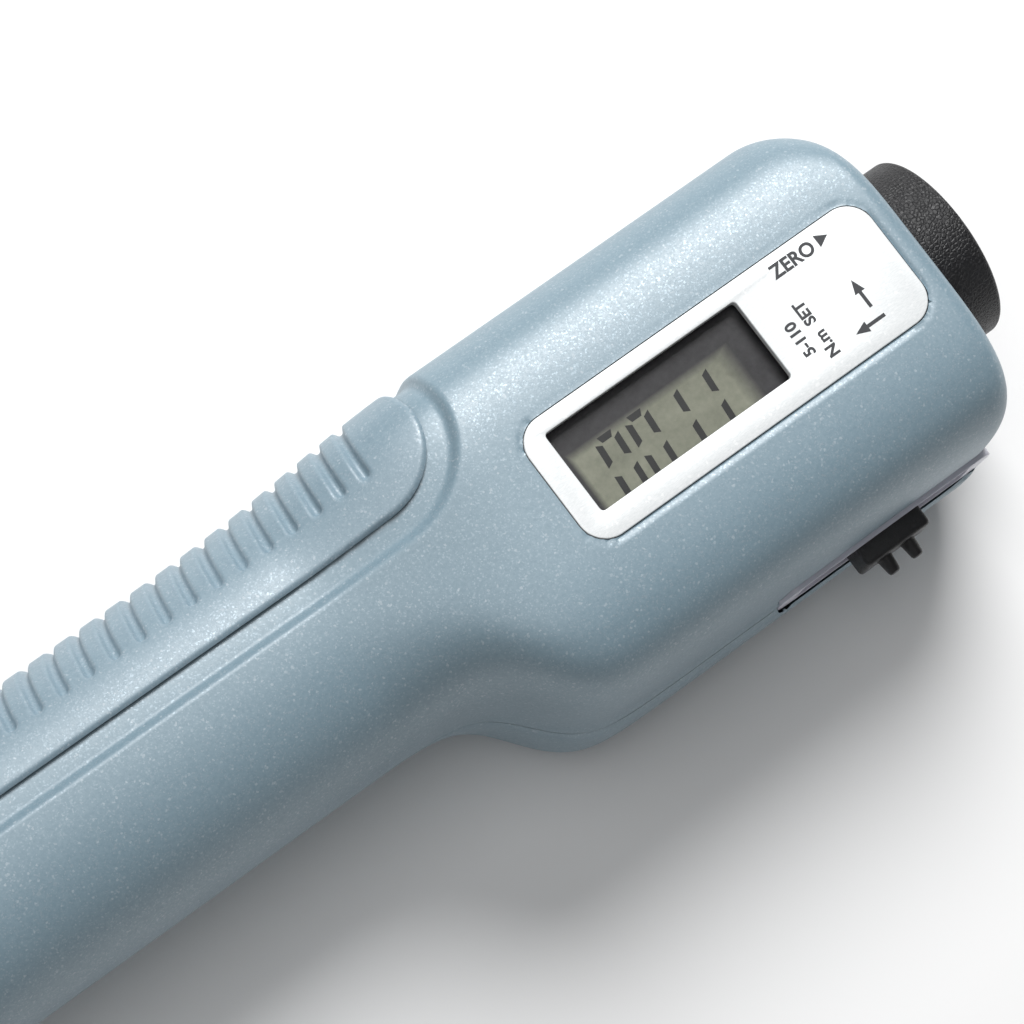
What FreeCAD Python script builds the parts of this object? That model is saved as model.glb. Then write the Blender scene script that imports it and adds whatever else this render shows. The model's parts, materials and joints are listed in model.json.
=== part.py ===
import FreeCAD, Part
import math
import os

os.makedirs("parts", exist_ok=True)

V = FreeCAD.Vector

# ---- driving sizes, millimetres -------------------------------------------------------------
# X runs from the ratchet head to the butt end, Z up through the display, Y towards the ribbed flank.
# The origin is the centre of the square drive's end face.
OVERALL_L = 390.0       # drive centre to the end of the knob
AXIS_Z = 23.0           # height of the tube's axis above the drive's end face
DRIVE_AF = 9.53         # 3/8 inch square drive, across flats
HEAD_R = 17.5           # radius of the ratchet head
HEAD_H = 23.0           # thickness of the ratchet head
GEAR_TEETH = 36
TUBE_OD = 18.0
TUBE_WALL = 1.8
ARM_W = 9.0             # square section of the head's arm inside the tube
PIVOT_X = 46.0          # drive centre to the pin the arm rocks on
SCREW_PITCH = 1.5       # adjusting screw, left-hand thread
GRIP_L = 199.0          # grip and pod together
GRIP_W = 34.4           # width of the hand grip
GRIP_TOP = 16.3         # grip, above the axis
GRIP_DEPTH = 16.5       # grip, below the axis
GRIP_SHIFT = 4.2        # the grip's centre lies this far towards the ribbed flank
POD_TOP = 20.0          # pod, above the axis
POD_Y = 22.9            # pod half width on the ribbed side
POD_Y_SLIDE = 24.9      # pod half width on the slider side, lower shell
LIP = 1.0               # the upper shell stands this much further in on that side
WALL = 3.2              # shell wall
KNOB_R = 12.4
KNOB_OUT = 8.6          # how far the knob stands out of the pod
PLATE_L = 51.4          # display plate
PLATE_W = 16.8
PLATE_END = 3.5         # plate to the pod's end face
PLATE_T = 1.2
PAD_T = 2.0             # thickness of the ribbed pad
NOTCH_PITCH = 3.63
COIN_R = 10.0           # 2032 coin cell
COIN_H = 3.2

# ---- named clearances -----------------------------------------------------------------------
RUN = 0.05              # radial running clearance of pins, screws and bushes
SLIDE = 0.08            # radial clearance of pieces sliding in the tube
GAP = 0.3               # free gap between pieces that move past one another
SEAT = 0.1              # gap of pieces laid into a pocket

# ---- positions that follow from them --------------------------------------------------------
BORE_R = TUBE_OD / 2 - TUBE_WALL
POD_END = OVERALL_L - KNOB_OUT
PLATE_X = POD_END - PLATE_END           # butt-side edge of the display plate
FAR = OVERALL_L + 100.0                 # past the tool's end, for cuts that run right through
GRIP_X0 = POD_END - GRIP_L              # front end of the grip
SPLIT_Z = AXIS_Z - 3.5                  # parting plane of the two shells
TOP_Z = AXIS_Z + POD_TOP                # top of the pod
HEAD_Z0 = AXIS_Z - HEAD_H / 2
HEAD_Z1 = AXIS_Z + HEAD_H / 2


def cyl_x(radius, x0, x1, y=0.0, z=AXIS_Z):
    return Part.makeCylinder(radius, x1 - x0, V(x0, y, z), V(1, 0, 0))


def cyl_y(radius, y0, y1, x, z):
    return Part.makeCylinder(radius, y1 - y0, V(x, y0, z), V(0, 1, 0))


def cyl_z(radius, z0, z1, x=0.0, y=0.0):
    return Part.makeCylinder(radius, z1 - z0, V(x, y, z0), V(0, 0, 1))


def block(x0, x1, y0, y1, z0, z1):
    return Part.makeBox(x1 - x0, y1 - y0, z1 - z0, V(x0, y0, z0))


def upright_edges(shape):
    """Edges that run straight along Z."""
    found = []
    for edge in shape.Edges:
        a, b = edge.Vertexes[0].Point, edge.Vertexes[-1].Point
        if abs(a.x - b.x) < 1e-6 and abs(a.y - b.y) < 1e-6 and abs(a.z - b.z) > 1e-6:
            found.append(edge)
    return found


def rounded_block(x0, x1, y0, y1, z0, z1, radius):
    plain = block(x0, x1, y0, y1, z0, z1)
    return plain.makeFillet(radius, upright_edges(plain))


def prism(points, z0, z1):
    """Upright prism over a closed outline of (x, y) points."""
    corners = [V(x, y, z0) for x, y in points]
    face = Part.Face(Part.makePolygon(corners + corners[:1]))
    return face.extrude(V(0, 0, z1 - z0))


def hull_of_circles(x1, r1, x2, r2, z0, z1):
    """Prism over two circles on the X axis joined by their outer tangents."""
    lean = math.asin((r1 - r2) / (x2 - x1))
    outline = [
        (x1 + r1 * math.sin(lean), r1 * math.cos(lean)),
        (x2 + r2 * math.sin(lean), r2 * math.cos(lean)),
        (x2 + r2 * math.sin(lean), -r2 * math.cos(lean)),
        (x1 + r1 * math.sin(lean), -r1 * math.cos(lean)),
    ]
    middle = prism(outline, z0, z1)
    return middle.fuse([cyl_z(r1, z0, z1, x1), cyl_z(r2, z0, z1, x2)]).removeSplitter()


def coil(x0, x1, mean_r, wire_r, pitch, y=0.0, z=AXIS_Z):
    """Compression spring along X between the two given ends."""
    length = x1 - x0 - 2 * wire_r
    turns = max(2, round(length / pitch))
    helix = Part.makeHelix(length / turns, length, mean_r)
    start = Part.Wire(Part.makeCircle(wire_r, V(mean_r, 0, 0), V(0, 1, 0)))
    spring = Part.Wire(helix.Edges).makePipeShell([start], True, True)
    spring.rotate(V(0, 0, 0), V(0, 1, 0), 90)
    spring.translate(V(x0 + wire_r, y, z))
    return spring


def screw(head_r, head_h, shank_r, shank_l, x, y, z, up):
    """Pan-head screw with a cross recess. z is under the head, and up is +1 or -1 for the shank's way."""
    head = cyl_z(head_r, z - head_h, z, x, y) if up > 0 else cyl_z(head_r, z, z + head_h, x, y)
    low, high = (z - 0.2, z + shank_l) if up > 0 else (z - shank_l, z + 0.2)
    shank = cyl_z(shank_r, low, high, x, y)
    face = z - head_h if up > 0 else z + head_h
    deep = head_h * 0.5
    arm = head_r * 0.55
    slot_a = block(x - arm, x + arm, y - head_r * 0.13, y + head_r * 0.13, face - deep, face + deep)
    slot_b = block(x - head_r * 0.13, x + head_r * 0.13, y - arm, y + arm, face - deep, face + deep)
    return head.fuse(shank).cut(slot_a.fuse(slot_b))


def hexagon_x(across, x0, x1):
    points = []
    for k in range(7):
        turn = math.radians(60 * k)
        radius = across / math.sqrt(3)
        points.append(V(x0, radius * math.cos(turn), AXIS_Z + radius * math.sin(turn)))
    return Part.Face(Part.makePolygon(points)).extrude(V(x1 - x0, 0, 0))


# ---- the grip's outer form, as one rule ------------------------------------------------------
def smooth(u, a, b):
    t = min(1.0, max(0.0, (u - a) / (b - a)))
    return t * t * (3 - 2 * t)


def corner(distance, radius):
    """How far a quarter-round end of this radius has drawn in at this distance from the end."""
    if distance >= radius:
        return 0.0
    return radius - math.sqrt(max(0.0, radius * radius - (radius - distance) ** 2))


def form(x, inset):
    """Half sizes, centre and squareness of the grip's section at x, drawn in by inset."""
    u = x - PLATE_X
    pod = smooth(u, -82, -56)
    mid_y = GRIP_SHIFT * (1 - pod)
    mid_z = AXIS_Z - 3.5 * pod
    flare = (1 + math.tanh((u + 65.0) / 5.2)) / 2
    low_y = GRIP_W / 2 - GRIP_SHIFT
    edge_neg = -(low_y + (POD_Y_SLIDE - low_y) * flare)
    edge_pos = GRIP_W / 2 + GRIP_SHIFT + (POD_Y - GRIP_W / 2 - GRIP_SHIFT) * smooth(u, -95, -58)
    top = AXIS_Z + GRIP_TOP + (POD_TOP - GRIP_TOP) * pod
    bottom = AXIS_Z - GRIP_DEPTH - (AXIS_Z + 0.5 - GRIP_DEPTH) * smooth(u, -88, -54)
    front = x - GRIP_X0
    back = POD_END - x
    nose = corner(front, 4.0)
    edge_pos -= corner(back, 9.5) + nose + 5.0 * (1 - smooth(front, 0, 26))
    edge_neg += corner(back, 4.5) + nose
    top -= corner(back, 2.5) + nose
    bottom += corner(back, 2.5) + nose
    power = 2.3 + 2.2 * pod
    return edge_neg + inset, edge_pos - inset, bottom + inset, top - inset, mid_y, mid_z, power


def section(x, inset):
    y0, y1, z0, z1, mid_y, mid_z, power = form(x, inset)
    points = []
    count = 36
    for k in range(count):
        c, s = math.cos(2 * math.pi * k / count), math.sin(2 * math.pi * k / count)
        reach_y = (y1 - mid_y) if c >= 0 else (mid_y - y0)
        reach_z = (z1 - mid_z) if s >= 0 else (mid_z - z0)
        y = mid_y + math.copysign(abs(c) ** (2 / power), c) * reach_y
        z = mid_z + math.copysign(abs(s) ** (2 / power), s) * reach_z
        if c < 0:
            y += LIP * smooth(x - PLATE_X, -82, -56) * smooth(z - AXIS_Z, -6.0, -0.5) * min(1.0, -2 * c)
        points.append(V(x, y, z))
    curve = Part.BSplineCurve()
    even = [k / count for k in range(count + 1)]
    curve.interpolate(Points=points, PeriodicFlag=True, Parameters=even)
    return Part.Wire(curve.toShape())


def grip_solid(inset, x0, x1):
    """The grip's form drawn in by inset, between two stations."""
    fixed = [GRIP_X0 + d for d in (0, 0.5, 1.5, 4, 10, 20, 30, 50, 75)]
    fixed += [PLATE_X + u for u in (-100, -90, -84, -78, -74, -70, -66, -62, -58, -54, -48, -30, -10)]
    fixed += [POD_END - d for d in (9.5, 7, 4.5, 2.5, 1.2, 0.4, 0)]
    stations = [x0] + [x for x in fixed if x0 + 0.3 < x < x1 - 0.3] + [x1]
    return Part.makeLoft([section(x, inset) for x in stations], True, False)


# ---- ratchet head ----------------------------------------------------------------------------
PAWL_X = 16.0                                   # pawl and lever axis
GEAR_R = 11.0
GEAR_ROOT = GEAR_R - 1.1
TOOTH = 360.0 / GEAR_TEETH
PAWL_DIP = GEAR_R - 0.5                         # radius the pawl's tip reaches to, between two teeth
CAVITY_R = GEAR_R + 0.8
FLOOR_Z = HEAD_Z0 + 3.0                         # floor of the head's cavity
COVER_T = 2.0
COVER_Z = HEAD_Z1 - COVER_T
GEAR_Z0 = FLOOR_Z + 0.2
GEAR_Z1 = GEAR_Z0 + 12.0
JOURNAL_R = 8.0
HUB_R = 6.0
tip_turn = math.radians(2 * TOOTH)
TIP_X = PAWL_DIP * math.cos(tip_turn)
TIP_Y = PAWL_DIP * math.sin(tip_turn)
PAWL_L = math.hypot(PAWL_X - TIP_X, TIP_Y)
POCKET_R = PAWL_L + 0.6
THROW = 28.0                                    # degrees between the lever's two places
ARM_END = PIVOT_X + 24.0                        # tail of the arm
TUBE_X0 = PAWL_X + POCKET_R + 7.3               # mouth of the tube

outline = hull_of_circles(0, HEAD_R, PAWL_X, POCKET_R + 2.9, HEAD_Z0, HEAD_Z1)
outline = outline.makeChamfer(1.2, [e for e in outline.Edges if abs(e.BoundBox.ZLength) < 1e-6])
neck_z = HEAD_H / 2 - 4.5
neck = block(PAWL_X + 4, TUBE_X0 + 1, -ARM_W / 2 - 1.2, ARM_W / 2 + 1.2, AXIS_Z - neck_z, AXIS_Z + neck_z)
neck = neck.common(cyl_x(BORE_R + 0.8, 0, 2 * TUBE_X0))
arm = block(TUBE_X0, ARM_END, -ARM_W / 2, ARM_W / 2, AXIS_Z - ARM_W / 2, AXIS_Z + ARM_W / 2)
slim = block(TUBE_X0 - 1.5, TUBE_X0 + 2, -20, 20, 0, 60)
slim = slim.cut(cyl_x(BORE_R - 0.75, 0, 2 * TUBE_X0))
head_body = outline.fuse([neck.cut(slim), arm])
cavity = cyl_z(CAVITY_R, FLOOR_Z, COVER_Z).fuse(cyl_z(POCKET_R, FLOOR_Z, COVER_Z, PAWL_X))
lid_pocket = hull_of_circles(0, HEAD_R - 1.5, PAWL_X, POCKET_R + 1.4, COVER_Z, HEAD_Z1 + 1)
pin_hole = cyl_z(2.5 + RUN, 0, 60, PIVOT_X)
PAWL_BALL_R = 1.3
ball_x = PAWL_X + 3.6 + 0.15 + PAWL_BALL_R      # clear of the pawl's back
ball_hole = cyl_x(PAWL_BALL_R + RUN, PAWL_X + 3, TUBE_X0 + 3)
SCREW_TURNS = (62, 128, 232, 298)
COVER_SCREW_PCR = (HEAD_R + CAVITY_R) / 2 - 0.4
screw_places = []
for turn in SCREW_TURNS:
    angle = math.radians(turn)
    screw_places.append((COVER_SCREW_PCR * math.cos(angle), COVER_SCREW_PCR * math.sin(angle)))
taps = [cyl_z(1.0, COVER_Z - 7, COVER_Z + 1, x, y) for x, y in screw_places]
head_sinks = [cyl_z(1.9, HEAD_Z1 - 1.1, HEAD_Z1 + 1, x, y) for x, y in screw_places]
bore = cyl_z(JOURNAL_R + RUN, HEAD_Z0 - 1, FLOOR_Z + 1)
head_body = head_body.cut([cavity, lid_pocket, pin_hole, ball_hole, bore] + taps + head_sinks)
head_body.exportStep("parts/head_body.step")

head_cover = hull_of_circles(0, HEAD_R - 1.5 - SEAT, PAWL_X, POCKET_R + 1.4 - SEAT, COVER_Z, HEAD_Z1)
lever_hole = cyl_z(2.5 + RUN, 0, 60, PAWL_X)
shank_ways = [cyl_z(1.0, COVER_Z - 1, HEAD_Z1 + 1, x, y) for x, y in screw_places]
head_cover = head_cover.cut([cyl_z(HUB_R + RUN, 0, 60), lever_hole] + shank_ways + head_sinks)
head_cover.exportStep("parts/head_cover.step")

cover_screws = [screw(1.8, 1.1, 0.95, 6.0, x, y, HEAD_Z1 - 1.1, -1) for x, y in screw_places]
Part.makeCompound(cover_screws).exportStep("parts/cover_screws.step")

# Ratchet wheel, journal and square in one piece. A gap between two teeth lies on the X axis.
ring = []
middle = TOOTH / 2
tooth_form = ((0.7, GEAR_ROOT), (middle - 1.0, GEAR_R), (middle + 1.0, GEAR_R), (TOOTH - 0.7, GEAR_ROOT))
for k in range(GEAR_TEETH):
    for off, radius in tooth_form:
        turn = math.radians(k * TOOTH + off)
        ring.append((radius * math.cos(turn), radius * math.sin(turn)))
wheel = prism(ring, GEAR_Z0, GEAR_Z1)
half = DRIVE_AF / 2
square = block(-half, half, -half, half, 0, HEAD_Z0 + 1)
low_edges = [e for e in square.Edges if e.BoundBox.ZMax < 1e-6]
square = square.makeChamfer(0.9, low_edges)
square = square.common(cyl_z(half * 1.32, -1, HEAD_Z0 + 2))
journal = cyl_z(JOURNAL_R, HEAD_Z0 - 0.4, GEAR_Z0)
hub = cyl_z(JOURNAL_R, GEAR_Z1, COVER_Z - 0.2).fuse(cyl_z(HUB_R, COVER_Z - 0.2, HEAD_Z1 - 0.2))
BALL_R = 1.6
BALL_Z = 5.5
BALL_X = half - 0.9
ball_bore = cyl_x(BALL_R + RUN, -half + 1.6, half + 1, 0, BALL_Z)
drive_gear = wheel.fuse([square, journal, hub]).cut(ball_bore)
drive_gear.exportStep("parts/drive_gear.step")

Part.makeSphere(BALL_R, V(BALL_X, 0, BALL_Z)).exportStep("parts/detent_ball.step")
coil(-half + 1.65, BALL_X - BALL_R * 0.88, 1.05, 0.22, 0.95, 0, BALL_Z).exportStep("parts/detent_spring.step")

# Pawl: a round body with two horns. One horn stands in a tooth gap, the other is thrown clear.
horn = []
along = (math.cos(tip_turn), math.sin(tip_turn))
side = (-along[1], along[0])
for reach, wide in ((0.0, 0.15), (1.0, 0.6), (1.0, -0.6), (0.0, -0.15)):
    horn.append((TIP_X + along[0] * reach + side[0] * wide, TIP_Y + along[1] * reach + side[1] * wide))
root = [horn[1], (PAWL_X - 0.4, 3.55), (PAWL_X - 3.3, -0.6), horn[2]]
PAWL_Z0 = GEAR_Z0 + 0.6
PAWL_Z1 = GEAR_Z1 - 0.6
near_horn = prism(horn, PAWL_Z0, PAWL_Z1).fuse(prism(root, PAWL_Z0, PAWL_Z1))
far_horn = near_horn.mirror(V(0, 0, 0), V(0, 1, 0))
far_horn.rotate(V(PAWL_X, 0, 0), V(0, 0, 1), THROW)
lever_hub_af = 3.4
pawl_key = block(PAWL_X - 1.7, PAWL_X + 1.7, -1.7, 1.7, 0, 60)
pawl = cyl_z(3.6, PAWL_Z0, PAWL_Z1, PAWL_X).fuse([near_horn, far_horn]).cut(pawl_key)
pawl.exportStep("parts/pawl.step")

LEVER_TOP = HEAD_Z1 + 3.6
lever_key = block(PAWL_X - 1.68, PAWL_X + 1.68, -1.68, 1.68, PAWL_Z0, PAWL_Z1 + 0.5)
lever_stem = cyl_z(2.5, PAWL_Z1 + 0.3, HEAD_Z1 + 1.5, PAWL_X)
lever_disc = cyl_z(5.2, HEAD_Z1 + 0.3, LEVER_TOP - 0.6, PAWL_X)
thumb = block(PAWL_X, PAWL_X + 11.5, -2.3, 2.3, HEAD_Z1 + 0.5, LEVER_TOP)
top_edges = [e for e in thumb.Edges if e.BoundBox.ZMin > LEVER_TOP - 0.1]
thumb = thumb.makeFillet(0.9, [e for e in top_edges if e.BoundBox.XMax > PAWL_X + 1])
thumb.rotate(V(PAWL_X, 0, 0), V(0, 0, 1), THROW / 2)
reversing_lever = lever_key.fuse([lever_stem, lever_disc, thumb])
reversing_lever.exportStep("parts/reversing_lever.step")

Part.makeSphere(PAWL_BALL_R, V(ball_x, 0, AXIS_Z)).exportStep("parts/pawl_ball.step")
coil(ball_x + PAWL_BALL_R * 0.85, TUBE_X0 + 2.95, 0.95, 0.2, 0.9).exportStep("parts/pawl_spring.step")

# ---- tube and click mechanism ----------------------------------------------------------------
BLOCK_L = 6.0
BLOCK_X0 = ARM_END + 0.4
PLUNGER_X0 = BLOCK_X0 + BLOCK_L + 0.4
PLUNGER_L = 15.0
SPRING_X0 = PLUNGER_X0 + PLUNGER_L
BUSH_L = 16.0
NUT_L = 12.0
TUBE_X1 = GRIP_X0 + 108.0               # the tube ends inside the grip
BUSH_X0 = TUBE_X1 - 6.0 - BUSH_L
COLLAR_X = BUSH_X0 - 4.0 - 1.5 - 2 * SEAT
NUT_X0 = COLLAR_X - 16.0 - NUT_L
NUT_TRAVEL = 16.0
NUT_BACK = 1.0

shaft_tube = cyl_x(TUBE_OD / 2, TUBE_X0, TUBE_X1).cut(cyl_x(BORE_R, TUBE_X0 - 1, TUBE_X1 + 1))
key_x = NUT_X0 + NUT_L / 2
slot = block(key_x - NUT_TRAVEL - 1.6, key_x + NUT_BACK + 1.6, -1.1, 1.1, AXIS_Z, AXIS_Z + 12)
bush_taps = [cyl_y(1.5, -12, 12, BUSH_X0 + BUSH_L / 2, AXIS_Z)]
shaft_tube = shaft_tube.cut([slot, cyl_z(2.5, 0, 60, PIVOT_X)] + bush_taps)
shaft_tube.exportStep("parts/shaft_tube.step")

pivot_pin = cyl_z(2.5, AXIS_Z - TUBE_OD / 2 + 0.2, AXIS_Z + TUBE_OD / 2 - 0.2, PIVOT_X)
pivot_pin.exportStep("parts/pivot_pin.step")

tilt_block = block(BLOCK_X0, BLOCK_X0 + BLOCK_L, -3, 3, AXIS_Z - 3, AXIS_Z + 3)
tilt_block = tilt_block.makeFillet(0.4, tilt_block.Edges)
tilt_block.exportStep("parts/tilt_block.step")

plunger = cyl_x(BORE_R - SLIDE, PLUNGER_X0, SPRING_X0)
plunger = plunger.makeChamfer(0.6, [plunger.Edges[0], plunger.Edges[2]])
plunger = plunger.fuse(cyl_x(3.9, SPRING_X0 - 1, SPRING_X0 + 8))
plunger.exportStep("parts/plunger.step")

coil(SPRING_X0 + 0.1, NUT_X0 - 0.1, 5.5, 1.05, 4.6).exportStep("parts/main_spring.step")

spring_nut = cyl_x(BORE_R - SLIDE, NUT_X0, NUT_X0 + NUT_L).fuse(cyl_x(4.2, NUT_X0 - 6, NUT_X0 + 1))
nut_bore = cyl_x(3.0 + RUN, NUT_X0 - 7, NUT_X0 + NUT_L + 1)
spring_nut = spring_nut.cut([nut_bore, cyl_z(1.0, AXIS_Z + 4.5, 60, key_x)])
spring_nut.exportStep("parts/spring_nut.step")
cyl_z(1.0, AXIS_Z + 4.5, AXIS_Z + TUBE_OD / 2 - 0.3, key_x).exportStep("parts/nut_guide_pin.step")

WHEEL_X = PLATE_X - 43.0                # encoder wheel, under the display
WHEEL_T = 1.5
KNOB_X0 = PLATE_X - 13.5                # inner end of the knob
HEX_AF = 6.0
adjusting_screw = cyl_x(3.0, NUT_X0 - 14, COLLAR_X + 1)
adjusting_screw = adjusting_screw.fuse([
    cyl_x(6.6, COLLAR_X, COLLAR_X + 4),
    cyl_x(4.0, COLLAR_X + 3, BUSH_X0 + BUSH_L + 3),
    cyl_x(3.0, BUSH_X0 + BUSH_L + 2, KNOB_X0 - 8),
    hexagon_x(HEX_AF, KNOB_X0 - 9, KNOB_X0 + 16),
])
adjusting_screw.exportStep("parts/adjusting_screw.step")

washer_x = COLLAR_X + 4 + SEAT
cyl_x(6.9, washer_x, washer_x + 1.5).cut(cyl_x(4.0 + RUN, 0, FAR)).exportStep("parts/thrust_washer.step")
screw_bush = cyl_x(BORE_R - RUN, BUSH_X0, BUSH_X0 + BUSH_L).cut(cyl_x(4.0 + RUN, 0, FAR))
bush_mid = BUSH_X0 + BUSH_L / 2
screw_bush = screw_bush.cut([cyl_y(1.5, 5.2, 12, bush_mid, AXIS_Z), cyl_y(1.5, -12, -5.2, bush_mid, AXIS_Z)])
screw_bush.exportStep("parts/screw_bush.step")
bush_screws = []
for way in (-1, 1):
    pin = cyl_y(1.45, 5.2, TUBE_OD / 2 - 0.1, BUSH_X0 + BUSH_L / 2, AXIS_Z)
    socket = cyl_y(0.7, TUBE_OD / 2 - 1.2, TUBE_OD / 2, BUSH_X0 + BUSH_L / 2, AXIS_Z)
    pin = pin.cut(socket)
    bush_screws.append(pin if way > 0 else pin.mirror(V(0, 0, 0), V(0, 1, 0)))
Part.makeCompound(bush_screws).exportStep("parts/bush_screws.step")

encoder_wheel = cyl_x(9.0, WHEEL_X, WHEEL_X + WHEEL_T).fuse(cyl_x(4.6, WHEEL_X - 3, WHEEL_X + WHEEL_T))
windows = []
for k in range(24):
    window = block(WHEEL_X - 0.5, WHEEL_X + WHEEL_T + 0.5, -0.45, 0.45, AXIS_Z + 6.2, AXIS_Z + 8.4)
    window.rotate(V(0, 0, AXIS_Z), V(1, 0, 0), 15 * k)
    windows.append(window)
encoder_wheel = encoder_wheel.cut(windows + [cyl_x(3.0 + RUN, 0, FAR)])
encoder_wheel.exportStep("parts/encoder_wheel.step")

knob = cyl_x(KNOB_R, KNOB_X0, OVERALL_L)
knob = knob.makeFillet(0.5, [e for e in knob.Edges if e.BoundBox.XMin > OVERALL_L - 0.01])
hollow = cyl_x(KNOB_R - 2.2, KNOB_X0 - 1, OVERALL_L - 3).cut(cyl_x(5.6, 0, OVERALL_L))
end_knob = knob.cut([hollow, hexagon_x(HEX_AF + 0.2, KNOB_X0 - 1, OVERALL_L - 3)])
end_knob.exportStep("parts/end_knob.step")

# ---- grip shells -----------------------------------------------------------------------------
outer = grip_solid(0.0, GRIP_X0, POD_END)
inner = grip_solid(WALL, GRIP_X0 + WALL, POD_END - WALL)
under_groove = grip_solid(1.0, GRIP_X0, POD_END)
under_pad = grip_solid(PAD_T, GRIP_X0, POD_END)

PAD_X0 = GRIP_X0 + 10.0
PAD_X1 = PLATE_X - 58.4
PAD_Y = 8.9
GROOVE_W = 3.6
pad_area = rounded_block(PAD_X0, PAD_X1, PAD_Y, PAD_Y + 60, -5, 60, 9.6)
groove_x0, groove_x1 = PAD_X0 - GROOVE_W, PAD_X1 + GROOVE_W
groove_area = rounded_block(groove_x0, groove_x1, PAD_Y - GROOVE_W, PAD_Y + 60, -5, 60, 9.6 + GROOVE_W)

pad_room = rounded_block(PAD_X0 + SEAT, PAD_X1 - SEAT, PAD_Y + SEAT, PAD_Y + 60, -5, 60, 9.6 - SEAT)
rib_pad = outer.common(pad_room).cut(grip_solid(PAD_T - SEAT, GRIP_X0, POD_END))
notch_lean = -17.0
notches = []
x = PLATE_X - 66.2
while x > PAD_X0 + 9:
    notch = block(x - 0.6, x + 0.6, 14.2, 40, AXIS_Z - 13.5, AXIS_Z + 13)
    notch.rotate(V(x, 0, AXIS_Z + 13), V(0, 1, 0), notch_lean)
    notches.append(notch)
    x -= NOTCH_PITCH
under_notch = grip_solid(0.7, GRIP_X0, POD_END)
rib_pad = rib_pad.cut(Part.makeCompound(notches).cut(under_notch))

skin = outer.cut([groove_area.cut(under_groove), pad_area.cut(under_pad)])
below = block(0, FAR, -60, 60, -60, 0)
skin = skin.cut(below)

# Slot for the slider on the flank away from the pad, and the slit its stem runs in.
SLIDER_X = PLATE_X - 14.9
SLIDER_L = 9.8
SLIDE_TRAVEL = 8.0
TRACK_Y = -POD_Y_SLIDE + 2.3
SLOT_X0 = PLATE_X - 31.4
SLOT_X1 = PLATE_X + 2.0
slot_area = block(SLOT_X0, SLOT_X1, -60, TRACK_Y, SPLIT_Z - 3.4, SPLIT_Z + 3.4)
slot_area = slot_area.makeFillet(3.0, [e for e in slot_area.Edges if abs(e.BoundBox.YLength) > 30])
reach = SLIDE_TRAVEL + 2.0 + GAP
slit_y1 = -POD_Y_SLIDE + WALL + LIP + 1
slit = block(SLIDER_X - reach, SLIDER_X + reach, -60, slit_y1, SPLIT_Z - 1.2, SPLIT_Z + 1.2)

SADDLES = [GRIP_X0 + d for d in (4.0, 38.0, 72.0, 102.0)]
saddles = []
for x in SADDLES:
    saddles.append(inner.common(block(x, x + 2.5, -60, 60, -5, 60)))
void = inner.cut(saddles)
tube_way = cyl_x(TUBE_OD / 2 + RUN, GRIP_X0 - 1, TUBE_X1 + 1)
walled = skin.cut([void, tube_way, slot_area, slit, cyl_x(KNOB_R + 0.4, POD_END - WALL - 1, POD_END + 1)])

# Screws from below join the shells: along the pad's side of the grip, and either side of the knob.
GRIP_BOSS_Y = TUBE_OD / 2 + 4.4
grip_bosses = [(GRIP_X0 + d, GRIP_BOSS_Y) for d in (22.0, 60.0, 112.0)]
POD_BOSS_Y = KNOB_R + 3.6
pod_bosses = [(PLATE_X - 3.6, -POD_BOSS_Y), (PLATE_X - 3.6, POD_BOSS_Y)]
boss_places = grip_bosses + pod_bosses
posts = [cyl_z(2.9, 0, 60, x, y).common(inner) for x, y in boss_places]
above_split = block(0, FAR, -60, 60, SPLIT_Z, 90)
under_split = block(0, FAR, -60, 60, -60, SPLIT_Z)
upper = walled.common(above_split)
lower = walled.common(under_split)
upper = upper.fuse([p.common(above_split) for p in posts])
lower = lower.fuse([p.common(under_split) for p in posts])

HEAD_REST = SPLIT_Z - 8.0               # where the shell screws' heads bear, up a counterbore
shank_holes = [cyl_z(1.5, SPLIT_Z - 9, SPLIT_Z + 1, x, y) for x, y in boss_places]
head_holes = [cyl_z(2.45, -5, HEAD_REST, x, y) for x, y in boss_places]
screw_taps = [cyl_z(1.25, SPLIT_Z - 1, SPLIT_Z + 9, x, y) for x, y in boss_places]
shell_screws = [screw(2.35, 1.8, 1.25, 16.0, x, y, HEAD_REST, 1) for x, y in boss_places]
Part.makeCompound(shell_screws).exportStep("parts/shell_screws.step")
rib_pad = rib_pad.cut(head_holes)
rib_pad.exportStep("parts/rib_pad.step")

# Display: plate pocket, opening for lens and display, posts for the board.
PLATE_Z = TOP_Z - PLATE_T
WIN = (PLATE_X - 48.2, PLATE_X - 19.9, -5.0, 6.25)
OPEN = (WIN[0] - 1.0, WIN[1] + 1.0, WIN[2] - 1.2, WIN[3] + 1.1)
pocket_y = PLATE_W / 2 + SEAT
plate_pocket = rounded_block(PLATE_X - PLATE_L - SEAT, PLATE_X + SEAT, -pocket_y, pocket_y, PLATE_Z, 60, 3.7)
display_hole = block(OPEN[0], OPEN[1], OPEN[2], OPEN[3], TOP_Z - WALL - 2, 60)
LENS_T = 0.9
LCD_T = 2.1
LCD_Z = PLATE_Z - LENS_T - LCD_T
BOARD_T = 1.6
BOARD_Z = LCD_Z - 4.0 - BOARD_T
BOARD_X0 = PLATE_X - 53.4
BOARD_X1 = PLATE_X - 16.4
post_places = [(x, y) for x in (BOARD_X0 + 3.2, BOARD_X1 - 3.0) for y in (-15.4, 15.4)]
board_posts = [cyl_z(2.3, BOARD_Z + BOARD_T, 60, x, y).common(inner) for x, y in post_places]
board_taps = [cyl_z(0.9, BOARD_Z + BOARD_T - 1, BOARD_Z + BOARD_T + 4, x, y) for x, y in post_places]
upper_shell = upper.fuse(board_posts).cut([plate_pocket, display_hole] + board_taps + screw_taps)
upper_shell.exportStep("parts/upper_shell.step")

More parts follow.
